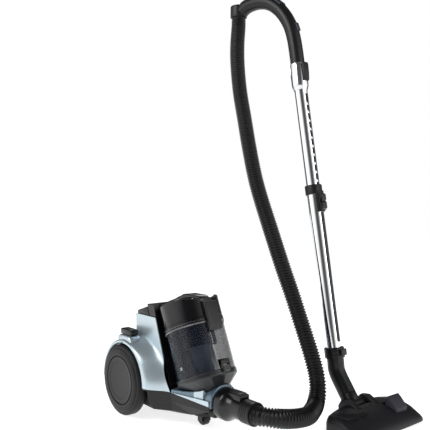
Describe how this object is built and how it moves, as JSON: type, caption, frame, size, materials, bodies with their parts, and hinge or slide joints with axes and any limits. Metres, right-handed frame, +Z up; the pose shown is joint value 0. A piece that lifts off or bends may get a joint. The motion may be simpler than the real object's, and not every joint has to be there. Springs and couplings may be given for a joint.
{
  "type": "canister vacuum cleaner",
  "caption": "Bagless canister vacuum cleaner with tilted clear dust cup, flexible hose, bent handle, telescopic wand and floor head.",
  "frame": {"origin": "at floor level, under the middle of the machine measured without its hose", "axes": "+X from the rear wheels towards the hose connector and the front of the floor head, +Y from the canister towards the wand, +Z up"},
  "size_m": [0.6122, 0.548, 1.1201],
  "materials": {
    "silver": "ice blue metallic, polished",
    "blue_grey": "satin metallic",
    "charcoal": "fine grain",
    "black": "polished",
    "satin": "satin",
    "grip": "fine grain",
    "pedal": "coarse grain",
    "rubber": "matt",
    "chrome": "mirror",
    "steel": "brushed",
    "inner": "satin",
    "filter": "fibrous",
    "smoked": "clear, tinted"
  },
  "bodies": {
    "canister": {"chassis": "charcoal", "motor_housing": "charcoal", "exhaust_filter": "filter", "cord_gland": "rubber", "motor_can": "steel", "fan_housing": "black", "cup_bay": "black", "top_cover": "black", "side_panel_left": "silver", "side_panel_right": "silver", "nose_cover": "silver", "nose_collar": "blue_grey", "inlet_duct": "black", "axle_left": "steel", "axle_right": "steel", "hose_connector": "black", "hose": "rubber"},
    "right_wheel": {"wheel_right": "charcoal", "tyre_right": "rubber"},
    "left_wheel": {"wheel_left": "charcoal", "tyre_left": "rubber"},
    "caster": {"caster_fork": "black"},
    "caster_roller": {"caster_wheel": "satin"},
    "power_button": {"power_pedal": "black"},
    "rewind_button": {"rewind_pedal": "black"},
    "exhaust_door": {"exhaust_cover": "charcoal"},
    "rotor": {"motor_rotor": "steel"},
    "reel": {"cord_reel": "satin"},
    "cup": {"cup_body": "smoked", "cyclone_cone": "inner", "cyclone_shroud": "black", "filter_frame": "black", "motor_filter": "filter", "base_hinge_pin": "steel"},
    "lid": {"cup_lid": "black", "carry_handle": "black"},
    "cup_button": {"cup_release_button": "satin"},
    "base_flap": {"cup_base": "black"},
    "connector_button": {"connector_latch": "satin"},
    "cuff": {"hose_cuff": "satin"},
    "handle": {"handle_shell": "satin", "grip_insert": "grip", "wand_upper_tube": "chrome", "tooth_rack": "steel"},
    "slider": {"suction_slider": "grip"},
    "handle_button": {"handle_release": "satin"},
    "lower_wand": {"wand_lower_tube": "chrome", "wand_collar": "satin", "track_strip": "black", "neck_socket": "satin", "elbow": "satin"},
    "wand_latch": {"telescope_latch": "black"},
    "neck_button": {"neck_release": "black"},
    "neck": {"yoke": "satin"},
    "floor_head": {"head_cover": "charcoal", "sole_plate": "black"},
    "pedal": {"rocker_pedal": "pedal"},
    "bristles": {"bristle_strip": "rubber"},
    "left_roller": {"head_wheel_left": "rubber"},
    "right_roller": {"head_wheel_right": "rubber"}
  },
  "joints": [
    {"name": "right_wheel_spin", "type": "hinge", "parent": "canister", "child": "right_wheel", "pos_m": [-0.20686, -0.259, 0.087], "axis": [0, 1, 0], "continuous": true},
    {"name": "left_wheel_spin", "type": "hinge", "parent": "canister", "child": "left_wheel", "pos_m": [-0.20686, -0.041, 0.087], "axis": [0, 1, 0], "continuous": true},
    {"name": "caster_swivel", "type": "hinge", "parent": "canister", "child": "caster", "pos_m": [-0.00686, -0.15, 0.04], "axis": [0, 0, 1], "continuous": true},
    {"name": "caster_roll", "type": "hinge", "parent": "caster", "child": "caster_roller", "pos_m": [-0.02086, -0.15, 0.016], "axis": [0, 1, 0], "continuous": true},
    {"name": "power_press", "type": "slide", "parent": "canister", "child": "power_button", "axis": [0, 0, -1], "range_m": [0, 0.004], "stiffness_N_per_m": 600, "springref_m": -0.003},
    {"name": "rewind_press", "type": "slide", "parent": "canister", "child": "rewind_button", "axis": [0, 0, -1], "range_m": [0, 0.004], "stiffness_N_per_m": 600, "springref_m": -0.003},
    {"name": "exhaust_door_hinge", "type": "hinge", "parent": "canister", "child": "exhaust_door", "pos_m": [-0.29916, -0.15, 0.101], "axis": [0, -1, 0], "range_deg": [0, 80]},
    {"name": "motor_spin", "type": "hinge", "parent": "canister", "child": "rotor", "pos_m": [-0.19886, -0.176, 0.128], "axis": [0, 1, 0], "continuous": true},
    {"name": "reel_spin", "type": "hinge", "parent": "canister", "child": "reel", "pos_m": [-0.19886, -0.108, 0.128], "axis": [0, 1, 0], "continuous": true},
    {"name": "cup_lift", "type": "slide", "parent": "canister", "child": "cup", "axis": [-0.4019, 0, 0.9157], "range_m": [0, 0.24]},
    {"name": "lid_lift", "type": "slide", "parent": "cup", "child": "lid", "axis": [-0.4019, 0, 0.9157], "range_m": [0, 0.06]},
    {"name": "cup_button_press", "type": "slide", "parent": "lid", "child": "cup_button", "axis": [0.4019, 0, -0.9157], "range_m": [0, 0.0025], "stiffness_N_per_m": 300, "springref_m": -0.002},
    {"name": "base_flap_hinge", "type": "hinge", "parent": "cup", "child": "base_flap", "pos_m": [0.06034, -0.15, 0.154], "axis": [0, -1, 0], "range_deg": [0, 69]},
    {"name": "connector_button_press", "type": "slide", "parent": "canister", "child": "connector_button", "axis": [0, 0, -1], "range_m": [0, 0.003], "stiffness_N_per_m": 400, "springref_m": -0.002},
    {"name": "cuff_turn", "type": "hinge", "parent": "canister", "child": "cuff", "pos_m": [0.14514, -0.15, 0.071], "axis": [1, 0, 0], "continuous": true},
    {"name": "handle_swivel", "type": "hinge", "parent": "canister", "child": "handle", "pos_m": [-0.19376, 0.1124, 1.068], "axis": [0, 0, 1], "range_deg": [0, 40]},
    {"name": "suction_slide", "type": "slide", "parent": "handle", "child": "slider", "axis": [-0.3366, -0.0606, 0.9397], "range_m": [0, 0.014]},
    {"name": "handle_button_press", "type": "slide", "parent": "handle", "child": "handle_button", "axis": [0.1656, 0, -0.9862], "range_m": [0, 0.003], "stiffness_N_per_m": 400, "springref_m": -0.002},
    {"name": "telescope", "type": "slide", "parent": "handle", "child": "lower_wand", "axis": [-0.1656, 0, 0.9862], "range_m": [0, 0.25]},
    {"name": "wand_latch_press", "type": "slide", "parent": "lower_wand", "child": "wand_latch", "axis": [0.1656, 0, -0.9862], "range_m": [0, 0.006], "stiffness_N_per_m": 400, "springref_m": -0.002},
    {"name": "neck_button_press", "type": "slide", "parent": "lower_wand", "child": "neck_button", "axis": [0.1656, 0, -0.9862], "range_m": [0, 0.004], "stiffness_N_per_m": 400, "springref_m": -0.002},
    {"name": "elbow_swivel", "type": "hinge", "parent": "lower_wand", "child": "neck", "pos_m": [0.17014, 0.148, 0.061], "axis": [-0.5736, 0, 0.8192], "range_deg": [0, 45]},
    {"name": "neck_pitch", "type": "hinge", "parent": "neck", "child": "floor_head", "pos_m": [0.19114, 0.148, 0.04], "axis": [0, 1, 0], "range_deg": [-50, 10]},
    {"name": "pedal_rock", "type": "hinge", "parent": "floor_head", "child": "pedal", "pos_m": [0.27614, 0.213, 0.032], "axis": [0, -1, 0], "range_deg": [0, 12]},
    {"name": "bristle_drop", "type": "slide", "parent": "floor_head", "child": "bristles", "axis": [0, 0, -1], "range_m": [0, 0.006]},
    {"name": "left_roller_spin", "type": "hinge", "parent": "floor_head", "child": "left_roller", "pos_m": [0.20814, 0.24, 0.008], "axis": [0, 1, 0], "continuous": true},
    {"name": "right_roller_spin", "type": "hinge", "parent": "floor_head", "child": "right_roller", "pos_m": [0.20814, 0.056, 0.008], "axis": [0, 1, 0], "continuous": true}
  ],
  "couplings": [
    {"joint": "base_flap_hinge", "follows": "cup_lift", "rad_per_m": 5},
    {"joint": "bristle_drop", "follows": "pedal_rock", "m_per_rad": 0.0286}
  ]
}
